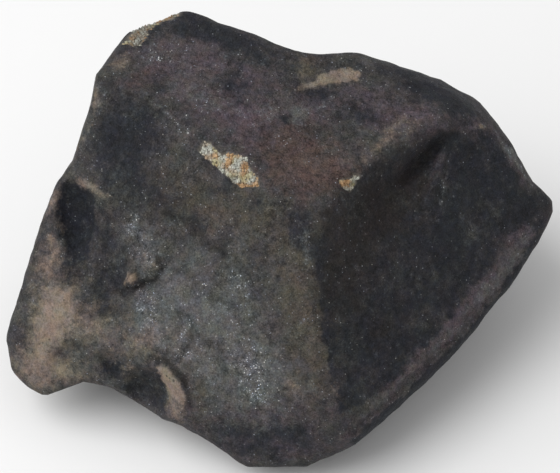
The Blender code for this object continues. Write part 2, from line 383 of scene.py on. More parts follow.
def surface(directions):
    """The stone's surface in each direction from its heart, face-on, how bare and how creased it is.

    It is the block's radius times the direction, less the hollows and creases, plus noise of ever
    finer size, less what the cut at the apex takes off and the flakes' depth.
    """
    points = directions * block(directions)[:, None]
    front = seen_share(directions, MARKS_RIM)
    for centre, length, width, turn, depth in SEEN_MARKS.values():
        points[:, 2] -= front * bowl(1 - oval(as_seen(points), centre, length, width, turn), depth)
    crease = front * crease_depth(points)
    points[:, 2] -= crease
    for towards, radius, depth in HIDDEN_MARKS.values():
        away = np.linalg.norm(directions - face_on(unit(towards)), axis=1)
        away *= np.linalg.norm(points, axis=1) / radius
        points -= directions * bowl(1 - away**2, depth)[:, None]
    for size, height in RIPPLES + GRAIN:
        points += directions * height * noise(points / size)[:, None]
    facing, through = unit(APEX_CUT[0]), APEX_CUT[1]
    over = (points - through) @ facing
    points *= (1 - np.clip(over, 0, None) / (over + facing @ through))[:, None]
    bare = bare_share(points, directions)
    uneven = 1 + noise(points / FLAKE_DIPS)
    return points - directions * (FLAKE_DEPTH * bare * front * uneven)[:, None], bare, crease


def piece_from(name, points, faces):
    """An object at the origin with these points, in metres, and these faces, shaded smooth."""
    mesh = bpy.data.meshes.new(name)
    mesh.from_pydata(points, [], faces)
    mesh.shade_smooth()
    made = bpy.data.objects.new(name, mesh)
    bpy.context.scene.collection.objects.link(made)
    return made


def give(piece, name, values):
    """Stores one number for each of a piece's points, for its material to read by this name."""
    piece.data.attributes.new(name, "FLOAT", "POINT").data.foreach_set("value", values.astype("f4"))


directions, faces = ball_grid(CELLS, FINER_IN_FRONT)
stone_face_on, bare, crease = surface(directions)
stone_points = (lying(stone_face_on) + HEART) * DRAWN_IN
stone_points[:, 2] = np.clip(stone_points[:, 2], 0, None)
stone = piece_from("stone", stone_points * MM, faces)
give(stone, "bare", bare)
give(stone, "crease", crease)

# What lies on the crust, and the painted shade, sheen and glints laid on it the same way, each kind
# as patches: (u, v) as seen, half length, half width, turn in degrees anticlockwise from +u, and how
# thick it is
MAUVE = {
    "top_left": ((-10.2, 20.4), 9.0, 5.0, -20, 0.8),
    "top_middle": ((-2.4, 14.4), 7.5, 5.0, 0, 0.75),
    "top_right": ((13.6, 15.6), 7.5, 2.6, -14, 1.0),
    "shoulder": ((22.8, 13.0), 4.0, 3.0, -50, 0.7),
    "foot": ((-1.8, -22.8), 9.0, 3.6, -2, 0.8),
    "far_rim": ((28.6, 8.0), 5.0, 0.8, -58, 0.7),
    "valley_side": ((18.6, 8.6), 3.0, 0.9, 70, 0.9),
    # The rim strip and its tip: mauve crust, partly painted light, paler where the strip turns away from
    # the light
    "right_strip": ((20.2, -11.0), 18.0, 1.5, 48, 1.0),
    "right_tip": ((28.2, 0.2), 3.2, 1.8, 52, 0.8),
}
RUST = {
    "beside_ridge": ((3.4, 8.8), 6.2, 3.9, -12, 1.0),
    "over_ridge": ((0.6, 12.6), 3.0, 1.8, 0, 0.5),
    "apex": ((-16.2, 19.6), 2.6, 1.8, 20, 0.45),
    "left_spot": ((-20.4, 12.8), 0.7, 0.6, 0, 1.0),
    "valley": ((17.8, 7.0), 1.8, 0.7, 65, 0.7),
    "right_streak": ((7.2, -3.4), 3.4, 0.7, -4, 0.5),
    "below_scar": ((-8.6, 1.4), 2.0, 1.4, 0, 0.35),
}
OLIVE = {
    "beside_edge": ((3.0, -8.4), 11.0, 3.2, 100, 1.0),
    "face_upper": ((-5.4, 3.4), 8.0, 3.2, -10, 0.7),
    "over_face": ((-13.2, 7.0), 4.0, 2.4, -30, 0.5),
    "valley_wall": ((10.6, 4.0), 5.0, 3.0, 42, 0.4),
    "low": ((-9.6, -18.6), 3.0, 2.6, -50, 0.5),
    "near_pit": ((-15.6, -13.0), 2.6, 1.8, 0, 0.5),
    "beside_patch": ((3.4, 20.4), 1.3, 2.2, 0, 0.9),
}
# Painted sheen: a paler grey that stands in for the light's sheen on the lit face and the top, and
# painted highlights along the valley ridge, the far rim and the rim strip
PAINTED_SHEEN = {
    "face_low": ((-5.6, -14.6), 7.8, 5.6, -45, 1.0),
    "face_middle": ((-11.4, -6.6), 6.5, 5.0, -30, 0.75),
    "beside_hollow": ((-16.2, -0.2), 3.8, 2.6, -20, 0.35),
    "beside_nose": ((-15.0, -9.6), 3.0, 3.4, 0, 0.6),
    "top": ((-9.0, 16.8), 3.0, 1.0, -20, 0.4),
    "top_glow": ((2.2, 15.2), 1.5, 1.1, 60, 0.85),
    "top_left": ((-11.4, 18.4), 2.0, 1.0, -30, 0.4),
    "far_face": ((24.0, 2.4), 4.0, 2.4, 60, 0.3),
    "valley_ridge": ((18.8, 8.2), 3.0, 0.35, 74, 0.4),
    "far_rim": ((28.4, 9.5), 3.6, 0.3, -55, 1.0),
    "right_strip": ((27.2, -2.8), 4.0, 0.9, 54, 0.2),
}
# Soot and shade: dark crust in blotches, and painted shade in the hollows and pits and over the right
# face, which turns away from the light
SOOT_AND_SHADE = {
    "hollow_side": ((-21.0, -0.6), 3.8, 2.4, 112, 0.55),
    "before_knob": ((-19.4, -3.6), 1.6, 1.6, 90, 0.35),
    "nose_spot": ((-26.6, -9.6), 1.1, 1.1, 0, 0.5),
    "nose_specks": ((-26.9, -13.8), 2.2, 1.0, 30, 0.6),
    "rim_specks": ((-28.1, -1.3), 0.9, 0.6, 0, 0.8),
    "top_edge": ((-7.8, 25.0), 9.0, 2.0, -17, 1.0),
    "apex": ((-17.2, 25.0), 2.6, 1.8, 30, 1.0),
    "top_rim": ((16.8, 19.0), 7.0, 1.2, -24, 0.7),
    "top": ((1.0, 17.4), 17.0, 5.5, -12, 0.2),
    "top_blotch": ((-5.4, 18.4), 2.4, 1.8, -60, 0.7),
    "top_middle": ((4.4, 17.6), 2.6, 1.0, -10, 0.7),
    "top_right": ((9.6, 15.4), 3.4, 1.5, -8, 0.7),
    "top_spot": ((0.6, 14.6), 1.0, 0.7, 0, 0.9),
    "below_scar": ((-6.4, 6.6), 1.6, 0.9, 35, 0.6),
    "below_scar_right": ((-3.0, 4.4), 1.8, 1.0, 95, 0.7),
    "ridge_top": ((2.4, 1.8), 3.2, 1.9, 90, 0.9),
    "left_upper": ((-18.4, 12.6), 6.0, 4.4, 68, 1.0),
    "left_middle": ((-16.0, 6.6), 4.5, 2.2, -30, 0.6),
    "face_upper": ((-11.0, 2.4), 4.0, 1.6, -30, 0.4),
    "back_rim": ((19.6, 17.2), 5.0, 1.8, -30, 0.95),
    "under_edge": ((9.4, 2.2), 5.5, 3.0, 44, 0.5),
    "right_low": ((12.4, -12.8), 5.0, 4.0, 48, 0.5),
    "right_flute": ((25.0, 7.0), 6.0, 3.0, 128, 0.9),
    "right_tip": ((31.0, 3.4), 2.4, 1.6, 90, 0.7),
    "nose_rim": ((-32.0, -12.0), 4.0, 1.0, 75, 0.25),
    "right_middle": ((20.4, 1.4), 5.0, 3.4, 40, 0.8),
    "foot": ((-1.2, -23.4), 9.0, 3.2, -2, 0.85),
    "beside_edge": ((4.4, -4.0), 6.0, 1.6, 95, 0.5),
}
# Umber and shade: brown-black crust, partly painted shade on the wall under the top's edge, in the
# groove and on the right face
UMBER_AND_SHADE = {
    "valley_wall": ((11.8, 3.6), 8.5, 5.2, 44, 0.8),
    "beside_ridge": ((7.4, -4.4), 6.5, 3.2, 95, 0.75),
    "groove": ((16.8, 9.8), 5.0, 1.6, 47, 0.4),
    "ridge_top": ((2.4, 1.4), 3.2, 1.8, 90, 0.4),
    "left_middle": ((-13.2, 4.6), 4.0, 2.2, -30, 0.4),
    "top": ((4.0, 13.6), 4.0, 1.6, -12, 0.4),
    "foot": ((3.4, -22.4), 3.0, 2.0, 0, 0.4),
    "right_low": ((13.0, -10.4), 3.4, 1.4, 40, 0.5),
}
DUST = {
    "nose_streak": ((-27.4, -9.6), 5.4, 2.7, 70, 0.95),
    "nose_low": ((-27.0, -15.4), 4.6, 1.9, -12, 0.65),
    "nose_foot": ((-29.4, -16.8), 3.2, 1.2, -35, 0.45),
    "nose_side": ((-22.8, -10.2), 4.8, 2.6, 0, 0.42),
    "beside_nose": ((-17.4, -12.2), 4.0, 2.4, 0, 0.35),
    "left_rim": ((-27.4, 0.2), 2.6, 1.1, 75, 0.35),
    "left_rim_low": ((-28.2, -3.0), 2.6, 1.5, 70, 0.5),
    "left_rim_high": ((-27.4, 4.4), 2.2, 0.8, 70, 0.4),
    "over_hollow": ((-22.8, 6.5), 2.3, 0.6, -30, 0.75),
    "between_pits": ((-18.2, -15.6), 1.4, 0.5, 40, 0.4),
    "ridge_foot": ((-12.5, -20.6), 1.9, 1.0, -60, 0.65),
    "top_streak": ((3.8, 18.8), 2.4, 0.6, 20, 0.7),
    "top_stripe": ((2.9, 20.6), 2.0, 0.7, 78, 0.4),
    "edge_streak": ((11.8, 11.2), 4.2, 0.8, 44, 0.4),
    "edge_wash": ((15.6, 14.0), 4.0, 1.0, 10, 0.3),
    "apex_band": ((-14.0, 26.5), 2.6, 0.3, 24, 0.8),
    "apex_left": ((-19.4, 21.4), 1.8, 0.9, 60, 0.4),
    "upper_rim": ((-22.0, 16.8), 2.0, 0.6, 80, 0.45),
    "left_edge": ((-24.2, 11.4), 4.4, 0.8, 66, 0.35),
    "ridge_specks": ((1.6, -17.6), 1.6, 0.8, -35, 0.4),
    "ridge_end": ((6.8, -18.2), 1.0, 0.5, -60, 0.55),
    "shoulder_spot": ((24.2, 13.7), 0.5, 0.4, 0, 0.8),
    "face_low": ((-12.0, -14.6), 5.0, 4.0, 0, 0.15),
}
# Painted glints: a paler bluish haze with many bright specks painted where the light glints, in clusters
# on the lit face, along ridges and rims, and in rows along the scratches
PAINTED_GLINTS = {
    "face": ((-9.0, -9.0), 9.0, 7.0, -40, 0.25),
    "face_middle": ((-4.9, -5.4), 1.8, 1.0, -45, 0.9),
    "face_low": ((-3.4, -16.2), 3.2, 1.4, -62, 0.85),
    "face_foot": ((-2.4, -18.8), 1.4, 0.8, -30, 0.9),
    "face_edge": ((-15.6, -10.2), 0.9, 1.0, 0, 0.5),
    "middle_spot": ((-10.2, -9.2), 0.9, 0.5, -30, 0.7),
    "middle_end": ((-6.2, -8.8), 0.5, 0.6, 0, 0.6),
    "small_bump": ((-11.7, -11.8), 1.3, 0.6, 80, 0.7),
    "low_spot": ((-10.9, -13.8), 1.0, 0.4, -20, 0.6),
    "face_below": ((-1.2, -14.6), 2.2, 0.9, -45, 0.5),
    "face_left": ((-16.2, -7.4), 1.6, 2.2, 0, 0.55),
    "beside_hollow": ((-16.3, -0.6), 1.3, 2.2, 20, 0.5),
    "pale_bump": ((-15.8, -2.8), 1.3, 0.9, -30, 0.6),
    "beyond_hollow": ((-17.8, 1.6), 1.2, 1.8, 0, 0.5),
    "scratch": ((-12.2, 2.3), 1.3, 0.2, -55, 0.9),
    "ridge_top": ((2.9, -0.9), 3.4, 0.7, 95, 0.4),
    "valley_edge": ((19.6, 5.8), 4.2, 0.25, 78, 0.5),
    "far_rim": ((28.0, 10.0), 4.0, 0.25, -55, 0.6),
    "top": ((-9.0, 17.4), 6.0, 3.0, -20, 0.2),
    "top_middle": ((-1.6, 15.6), 2.4, 1.6, 0, 0.3),
    "by_apex": ((-14.6, 22.4), 2.0, 1.2, -20, 0.45),
    "top_high": ((-6.4, 21.8), 1.0, 0.8, 0, 0.4),
    "left_scratch": ((-13.4, 15.2), 4.4, 0.22, -41, 0.5),
    "top_scratch": ((5.6, 16.6), 1.6, 0.3, 35, 0.5),
}

# Patches with a plainer edge: by kind, how thick each is and its corners, (u, v) as seen
ZONES = {
    # Painted shade: darker in the hollows and pits, in the groove, over the right face that turns away
    # from the light and in the band under its rim
    "soot_and_shade": {
        "left_hollow": (0.9, (
            (-27.1, 5.7), (-26.1, 6.7), (-23.6, 6.9), (-22.6, 5.9), (-22.2, 4.1), (-22.4, 1.7),
            (-22.6, 0.1), (-23.3, -1.9), (-24.6, -2.6), (-25.4, -1.6), (-25.8, 0.1), (-26.4, 0.6),
            (-26.8, 3.1),
        )),
        "lower_lobe": (0.45, (
            (-26.4, -3.3), (-25.6, -2.1), (-23.6, -2.4), (-22.9, -4.3), (-23.9, -5.3), (-25.6, -5.4),
            (-26.4, -4.6),
        )),
        "middle_hollow": (0.5, (
            (-23.8, -6.6), (-22.6, -5.3), (-20.9, -3.3), (-18.9, -3.1), (-18.3, -4.3), (-19.3, -5.8),
            (-20.4, -6.6), (-20.3, -7.9), (-21.3, -8.4), (-23.3, -7.9),
        )),
        "small_pit": (0.8, (
            (-21.3, -14.5), (-20.3, -14.2), (-18.6, -14.9), (-17.9, -15.8), (-18.4, -16.8),
            (-19.4, -17.2), (-20.7, -16.3), (-21.3, -15.3),
        )),
        "rim_pit": (0.55, (
            (-19.3, -17.9), (-17.9, -16.9), (-15.9, -15.4), (-14.6, -15.3), (-14.1, -16.9),
            (-13.4, -19.3), (-13.5, -21.1), (-14.9, -20.1), (-17.3, -18.4),
        )),
        "right_face": (0.6, (
            (6.8, 5.8), (6.1, 2.2), (4.3, -1.2), (4.7, -7.2), (5.2, -11.6), (6.7, -18.6), (7.2, -21.0),
            (10.8, -19.2), (14.9, -15.4), (20.4, -9.8), (25.2, -3.4), (28.0, 0.6), (31.2, 3.4),
            (28.8, 7.2), (26.4, 11.8), (24.7, 13.9), (21.6, 13.0), (18.8, 12.8), (13.8, 10.3),
            (10.2, 8.2),
        )),
        "under_rim": (0.9, (
            (31.6, 1.0), (31.8, -0.6), (28.6, -6.0), (23.2, -12.9), (17.3, -18.6), (9.4, -25.4),
            (8.6, -24.2), (16.2, -17.2), (22.0, -11.6), (27.2, -4.8), (30.2, -0.2),
        )),
        "groove": (0.5, (
            (13.8, 7.8), (16.8, 10.2), (18.9, 12.6), (21.0, 12.6), (21.1, 11.8), (19.8, 10.8),
            (18.3, 9.0), (17.1, 7.8), (15.0, 6.3),
        )),
    },
    "dust": {
        "knob": (0.95, (
            (-18.5, -4.4), (-18.1, -3.9), (-17.3, -4.1), (-17.3, -4.9), (-17.9, -5.6), (-18.6, -5.4),
        )),
        "pale_bump": (0.25, (
            (-17.3, -1.6), (-15.9, -1.1), (-14.9, -2.3), (-14.6, -3.2), (-15.3, -4.1), (-16.4, -4.2),
            (-17.1, -3.1),
        )),
        "pit_ridge": (0.95, (
            (-14.7, -14.9), (-13.6, -15.4), (-12.2, -17.3), (-11.5, -18.9), (-11.5, -20.1),
            (-12.6, -19.4), (-13.4, -18.1), (-14.2, -16.8), (-14.8, -15.8),
        )),
        "top_patch": (0.9, (
            (4.8, 20.0), (6.2, 20.6), (8.6, 20.6), (9.7, 20.2), (9.6, 19.4), (7.4, 19.0), (5.4, 18.7),
            (3.8, 18.6),
        )),
    },
    # Painted light on the rim strip, which turns away from the light
    "painted_sheen": {
        "right_strip": (0.4, (
            (30.6, 2.0), (30.2, -0.2), (27.2, -4.8), (22.0, -11.6), (16.2, -17.2), (9.2, -23.4),
            (8.4, -22.0), (14.9, -15.9), (20.6, -10.2), (25.9, -3.6), (28.9, 0.6),
        )),
    },
}

# How wide the edge of such a patch is, and how much the films' thickness varies out of sight
ZONE_EDGE = 0.4
HIDDEN_UNEVENNESS = 0.9

# The films in the order they lie: the ovals, lump size, raggedness, colour, and how far apart and how
# thick the film's patches are on the side out of sight. Soot and umber carry painted shade as well as
# dark crust, and the sheen and glint films are painted light.
FILMS = {
    "mauve": (MAUVE, 2.6, 2.2, (0.072, 0.057, 0.064), 15.0, 0.5),
    "rust": (RUST, 2.0, 1.8, (0.082, 0.055, 0.050), 12.0, 0.3),
    "olive": (OLIVE, 2.2, 2.0, (0.061, 0.053, 0.042), 14.0, 0.4),
    "soot_and_shade": (SOOT_AND_SHADE, 2.0, 2.2, (0.0145, 0.0160, 0.0210), 16.0, 0.6),
    "umber_and_shade": (UMBER_AND_SHADE, 2.4, 2.0, (0.0188, 0.0163, 0.0158), 13.0, 0.35),
    "painted_sheen": (PAINTED_SHEEN, 1.8, 2.2, (0.091, 0.092, 0.089), 12.0, 0.15),
    "painted_glints": (PAINTED_GLINTS, 0.7, 2.6, (0.103, 0.107, 0.109), 12.0, 0.0),
    "dust": (DUST, 1.1, 1.5, (0.212, 0.175, 0.138), 13.0, 0.0),
}


def patches(points, directions, kind):
    """How thick a kind of film lies at each point, from 0 to 1.

    On the seen side each patch covers a share of what the others leave bare: its thickness at its
    middle, falling off as exp(-r squared), where r is 1 at an oval's edge, and across ZONE_EDGE at
    a zone's, all with wandering edges. On the hidden side it is noise about the thickness, spacing
    apart.
    """
    ovals, spacing, thickness = FILMS[kind][0], *FILMS[kind][-2:]
    seen, front = wandered(points), seen_share(directions, FILMS_RIM)
    bare = np.ones(len(points))
    for centre, length, width, turn, strength in ovals.values():
        bare *= 1 - strength * np.exp(-oval(seen, centre, length, width, turn))
    for strength, corners in ZONES.get(kind, {}).values():
        bare *= 1 - strength * np.clip(depth_inside(seen, corners) / ZONE_EDGE + 0.5, 0, 1)
    behind = np.clip(thickness + HIDDEN_UNEVENNESS * noise(points / spacing), 0, 1)
    return front * (1 - bare) + (1 - front) * behind


for kind in FILMS:
    give(stone, kind, patches(stone_face_on, directions, kind))


def fill(tree, node, inputs):
    """Joins each named input of a node to a socket, or sets it to a number, vector or colour."""
    for key, value in inputs.items():
        socket = node.inputs[key]
        if isinstance(value, bpy.types.NodeSocket):
            tree.links.new(value, socket)
        elif socket.type == "RGBA":
            socket.default_value = (*value, 1)
        else:
            socket.default_value = value


def add(tree, kind, inputs=None, **settings):
    """A new node of this kind, with its settings and inputs."""
    made = tree.nodes.new(kind)
    for name, value in settings.items():
        setattr(made, name, value)
    fill(tree, made, inputs or {})
    return made


def new_group(name, inputs, outputs):
    """An empty node group with these number inputs and outputs, and its two end nodes."""
    tree = bpy.data.node_groups.new(name, "ShaderNodeTree")
    for name, value in inputs.items():
        socket = tree.interface.new_socket(name, in_out="INPUT", socket_type="NodeSocketFloat")
        socket.default_value = value
    for name in outputs:
        tree.interface.new_socket(name, in_out="OUTPUT", socket_type="NodeSocketFloat")
    return tree, add(tree, "NodeGroupInput"), add(tree, "NodeGroupOutput")


def millimetres(tree):
    """The place on the object in millimetres, for patterns whose sizes are then real ones."""
    place = add(tree, "ShaderNodeTexCoord").outputs["Object"]
    return add(tree, "ShaderNodeVectorMath", {0: place, "Scale": 1 / MM}, operation="SCALE").outputs[0]


def work(tree, operation, *numbers):
    """A sum, a product or other working on two or three numbers."""
    return add(tree, "ShaderNodeMath", dict(enumerate(numbers)), operation=operation).outputs[0]


def sloped(tree, value, slope, start=1.0):
    """A number that is start where the value is 0 and changes by slope where it is 1."""
    return work(tree, "MULTIPLY_ADD", value, slope, start)


def noise_node(tree, place, size, detail=3.0, rough=0.5, seed=0.0):
    """Noise from 0 to 1 with lumps of this size in millimetres."""
    inputs = {"Vector": place, "W": seed, "Scale": 1 / size, "Detail": detail, "Roughness": rough}
    return add(tree, "ShaderNodeTexNoise", inputs, noise_dimensions="4D").outputs["Fac"]


def step_node(tree, value, low, high):
    """0 where the value is under low, 1 over high, and a smooth step between."""
    inputs = {"Value": value, "From Min": low, "From Max": high}
    return add(tree, "ShaderNodeMapRange", inputs, interpolation_type="SMOOTHSTEP").outputs["Result"]


def mix_colour(tree, share, first, second):
    """The first colour turning to the second by the share."""
    inputs = {0: share, 6: first, 7: second}
    return add(tree, "ShaderNodeMix", inputs, data_type="RGBA").outputs[2]


def scaled(tree, place, size):
    """A place counted in steps of this size, where the size may be a socket."""
    made = add(tree, "ShaderNodeVectorMath", {0: place}, operation="SCALE")
    tree.links.new(work(tree, "DIVIDE", 1.0, size), made.inputs["Scale"])
    return made.outputs[0]


def ragged_film():
    """A film that lies as thick as an attribute says, with ragged edges and holes.

    The cover is a smooth step, from 0.1 to 0.9, of the thickness plus noise about 0 with lumps of the
    given size.
    """
    inputs = {"Thickness": 0, "Lump": 1, "Raggedness": 1, "Seed": 0}
    tree, into, out = new_group("ragged_film", inputs, ["Cover"])
    place = scaled(tree, millimetres(tree), into.outputs["Lump"])
    lumps = noise_node(tree, place, 1.0, detail=6.0, rough=0.75, seed=into.outputs["Seed"])
    uneven = work(tree, "MULTIPLY", work(tree, "SUBTRACT", lumps, 0.5), into.outputs["Raggedness"])
    cover = step_node(tree, work(tree, "ADD", into.outputs["Thickness"], uneven), 0.1, 0.9)
    tree.links.new(cover, out.inputs["Cover"])
    return tree


def speckle():
    """Scattered specks: one in each of a share of cells of this size, each with its own strength.

    Chance is every cell's own number from 0 to 1. Speck is the cell's strength in a spot about the
    cell's point, whole up to 0.2 of the size away and gone at 0.5. Few of the strengths are great.
    """
    tree, into, out = new_group("speckle", {"Size": 0.2, "Share": 0.1}, ["Speck", "Chance"])
    place = scaled(tree, millimetres(tree), into.outputs["Size"])
    cells = add(tree, "ShaderNodeTexVoronoi", {"Vector": place, "Scale": 1.0})
    number = add(tree, "ShaderNodeSeparateColor", {0: cells.outputs["Color"]})
    lucky = work(tree, "LESS_THAN", number.outputs[0], into.outputs["Share"])
    strength = work(tree, "POWER", number.outputs[1], 1.8)
    middle = step_node(tree, cells.outputs["Distance"], 0.5, 0.2)
    speck = work(tree, "MULTIPLY", work(tree, "MULTIPLY", lucky, middle), strength)
    tree.links.new(speck, out.inputs["Speck"])
    tree.links.new(number.outputs[2], out.inputs["Chance"])
    return tree


def use_group(tree, group, **inputs):
    """A group node's outputs, for these inputs."""
    made = add(tree, "ShaderNodeGroup", node_tree=group)
    fill(tree, made, inputs)
    return made.outputs


film, specks = ragged_film(), speckle()

# The crust's own colour in its darkest and its palest lumps, the tints that it swings between, the
# colours of the painted glints, of the bare stone and of the dark specks
CRUST_DARK, CRUST_PALE = (0.030, 0.030, 0.032), (0.060, 0.057, 0.053)
COOL, WARM = (0.94, 0.99, 1.07), (1.07, 1.01, 0.93)
GREENISH, PURPLISH = (0.97, 1.03, 0.98), (1.05, 0.97, 1.04)
GLINT_BLUE, GLINT_PALE = (0.55, 0.62, 0.78), (0.78, 0.76, 0.68)
BARE_STONE = (0.20, 0.18, 0.15)
DUST_SPECK = (0.03, 0.027, 0.025)

# The size of the crust's lumps in millimetres: of those that raise and colour it, and of the blotches
# in which it is grainier
BROAD_LUMP, MIDDLE_LUMP = 1.5, 0.8
GRAINY_BLOTCH = 4.0

# The blotches that change the crust's hue, with their size and their two tints, and those that only
# change its tone, with their size, how widely it swings about 1, and their seed
HUE_SWINGS = ((1.3, COOL, WARM), (3.2, GREENISH, PURPLISH))
TONE_SWINGS = ((0.2, 0.8, 4.0), (6.0, 0.25, 12.0))

# Where between 0 and 1 most of the noise lies, how far apart the films' patterns are taken from it, how
# much painted shade darkens a crease 1 mm deep, and the size of the cells that hold a painted glint or a
# dark speck
NOISE_SPAN = (0.36, 0.64)
SEED_STEP = 3.1
CREASE_SHADE = -1.7
GLINT_CELL, SPECK_CELL = 0.19, 0.42


def new_material(name):
    """A material, its node tree and its shader."""
    material = bpy.data.materials.new(name)
    material.use_nodes = True
    return material, material.node_tree, material.node_tree.nodes["Principled BSDF"]


def stored(tree, name):
    """The number that a piece stores by this name."""
    return add(tree, "ShaderNodeAttribute", attribute_name=name).outputs["Fac"]


def brightened(tree, colour, factor):
    """A colour times a number."""
    return add(tree, "ShaderNodeHueSaturation", {"Color": colour, "Value": factor}).outputs["Color"]


def multiplied(tree, colour, tint):
    """A colour times another."""
    inputs = {0: 1.0, 6: colour, 7: tint}
    return add(tree, "ShaderNodeMix", inputs, data_type="RGBA", blend_type="MULTIPLY").outputs[2]


def blotches(tree, place, size, seed):
    """Blotches of this size in millimetres, 0 to 1, with soft ragged edges."""
    return step_node(tree, noise_node(tree, place, size, 5.0, 0.7, seed), *NOISE_SPAN)


def swung(tree, value, width):
    """A number from 0 to 1 made to swing about 0, this wide."""
    return work(tree, "MULTIPLY", work(tree, "SUBTRACT", value, 0.5), width)


def filmed_colour(tree, place, broad):
    """The crust's colour under its films, some of them painted shade, sheen and glints, and each film's
    cover by its kind.
    """
    colour = mix_colour(tree, step_node(tree, broad, low=0.35, high=0.65), CRUST_DARK, CRUST_PALE)
    cover = {}
    for seed, (kind, looks) in enumerate(FILMS.items()):
        lump, raggedness, tint = looks[1:4]
        laid = {"Thickness": stored(tree, kind), "Lump": lump, "Raggedness": raggedness}
        cover[kind] = use_group(tree, film, **laid, Seed=SEED_STEP * seed)["Cover"]
        colour = mix_colour(tree, cover[kind], colour, tint)
    for seed, (size, first, second) in enumerate(HUE_SWINGS):
        swing = blotches(tree, place, size, 9.0 + seed)
        colour = multiplied(tree, colour, mix_colour(tree, swing, first, second))
    return colour, cover


def crust_tone(tree, place, middle, dust):
    """How light the crust is, about 1: its lumps' tones added, calmer under dust, with painted shade in
    creases.

    The middle lumps' tone swings 0.3 wide, and up to 0.9 wide in the grainy blotches.
    """
    grainy = sloped(tree, blotches(tree, place, GRAINY_BLOTCH, seed=11.0), slope=0.6, start=0.3)
    tone = work(tree, "MULTIPLY", swung(tree, step_node(tree, middle, *NOISE_SPAN), 1.0), grainy)
    for size, width, seed in TONE_SWINGS:
        tone = work(tree, "ADD", tone, swung(tree, blotches(tree, place, size, seed), width))
    tone = sloped(tree, tone, slope=sloped(tree, dust, slope=-0.5))
    return work(tree, "MULTIPLY", tone, sloped(tree, stored(tree, "crease"), CREASE_SHADE))


def glinting(tree, middle, cover):
    """How strong a painted glint is at each place, 0 where there is none, and the glint's colour.

    Painted glints are many and strong in the painted glint patches, few in soot and shade and none
    under dust, and keep to the middle lumps.
    """
    share = sloped(tree, cover["painted_glints"], slope=1.1, start=0.14)
    share = work(tree, "MULTIPLY", share, step_node(tree, middle, low=0.4, high=0.65))
    share = work(tree, "MULTIPLY", share, sloped(tree, cover["soot_and_shade"], slope=-0.7))
    bright = use_group(tree, specks, Size=GLINT_CELL, Share=share)
    glint = work(tree, "MULTIPLY", bright["Speck"], sloped(tree, cover["dust"], slope=-1.0))
    glint = work(tree, "MULTIPLY", glint, sloped(tree, cover["painted_glints"], slope=1.3, start=0.45))
    return glint, mix_colour(tree, bright["Chance"], GLINT_BLUE, GLINT_PALE)


def crust_material():
    """The melted crust: dark glass full of fine grains, under its films, some of them painted shade and
    sheen, with painted glints, painted shade in creases and dark specks.
    """
    material, tree, shader = new_material("fusion_crust")
    place = millimetres(tree)
    broad = noise_node(tree, place, BROAD_LUMP, detail=6.0, rough=0.7, seed=7.0)
    middle = noise_node(tree, place, MIDDLE_LUMP, detail=5.0, rough=0.75, seed=5.0)
    colour, cover = filmed_colour(tree, place, broad)
    colour = brightened(tree, colour, crust_tone(tree, place, middle, cover["dust"]))
    speckled = sloped(tree, cover["dust"], slope=0.25, start=0.05)
    dark = use_group(tree, specks, Size=SPECK_CELL, Share=speckled)
    colour = mix_colour(tree, work(tree, "MULTIPLY", dark["Speck"], 0.8), colour, DUST_SPECK)
    # Painted glints: bright bluish and pale specks in the base colour where the light would glint
    glint, glint_colour = glinting(tree, middle, cover)
    colour = mix_colour(tree, glint, colour, glint_colour)
    colour = mix_colour(tree, stored(tree, "bare"), colour, BARE_STONE)
    tree.links.new(colour, shader.inputs["Base Color"])

    shader.inputs["Specular IOR Level"].default_value = 0.2
    rough = sloped(tree, cover["painted_sheen"], slope=-0.12, start=0.68)
    rough = sloped(tree, cover["dust"], slope=0.2, start=rough)
    tree.links.new(sloped(tree, glint, slope=-0.4, start=rough), shader.inputs["Roughness"])

    height = sloped(tree, broad, slope=0.65, start=work(tree, "MULTIPLY", middle, 0.40))
    bump = add(tree, "ShaderNodeBump", {"Distance": MM, "Height": height})
    tree.links.new(bump.outputs["Normal"], shader.inputs["Normal"])
    return material


stone.data.materials.append(crust_material())
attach(stone, "root")
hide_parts("meteorite_fragment")

# The bared grains: where a chip broke through the crust the stone's own grains show, crystals and round
# beads of pale minerals, some of them rusty. They are part of the stone, grown together.

# How bare the stone has to be for grains to show, how far apart they lie, their half widths, how
# rough their corners are and how deep their middles are sunk
BARE_ENOUGH = 0.6
GRAINS_APART = 0.25
GRAIN_RADIUS = (0.12, 0.27)
CRYSTAL_ROUGHNESS = 0.3
SUNK = 0.06

# The size of the rusty and of the yellowed places, and the grains' colours, from the darkest grain to
# the palest
RUST_LUMP, YELLOW_LUMP = 1.1, 1.3
WHITE_GRAINS = ((0.26, 0.26, 0.23), (0.49, 0.50, 0.44))
ORANGE_GRAINS = ((0.28, 0.16, 0.075), (0.44, 0.28, 0.14))
YELLOW_GRAINS = ((0.27, 0.23, 0.12), (0.44, 0.40, 0.24))

grain_picker = np.random.default_rng(5)
bare_points = stone_face_on[bare > BARE_ENOUGH]
_, chosen = np.unique(np.floor(bare_points / GRAINS_APART), axis=0, return_index=True)
centres = bare_points[chosen] - SUNK * unit(bare_points[chosen])
ball, ball_faces = ball_grid(cells=2)


def turned(count, picker):
    """As many random turns, each as three unit vectors square to each other."""
    first = unit(picker.normal(size=(count, 3)))
    second = unit(np.cross(first, picker.normal(size=(count, 3))))
    return np.stack([first, second, np.cross(first, second)], axis=1)


def grain_points(centres, picker):
    """The points of every grain: a ball about each centre, roughened, stretched and turned at random."""
    radii = picker.uniform(*GRAIN_RADIUS, size=(len(centres), 1, 3))
    rough = 1 + CRYSTAL_ROUGHNESS * picker.uniform(-1, 1, size=(len(centres), len(ball), 1))
    return centres[:, None] + (ball * rough * radii) @ turned(len(centres), picker)


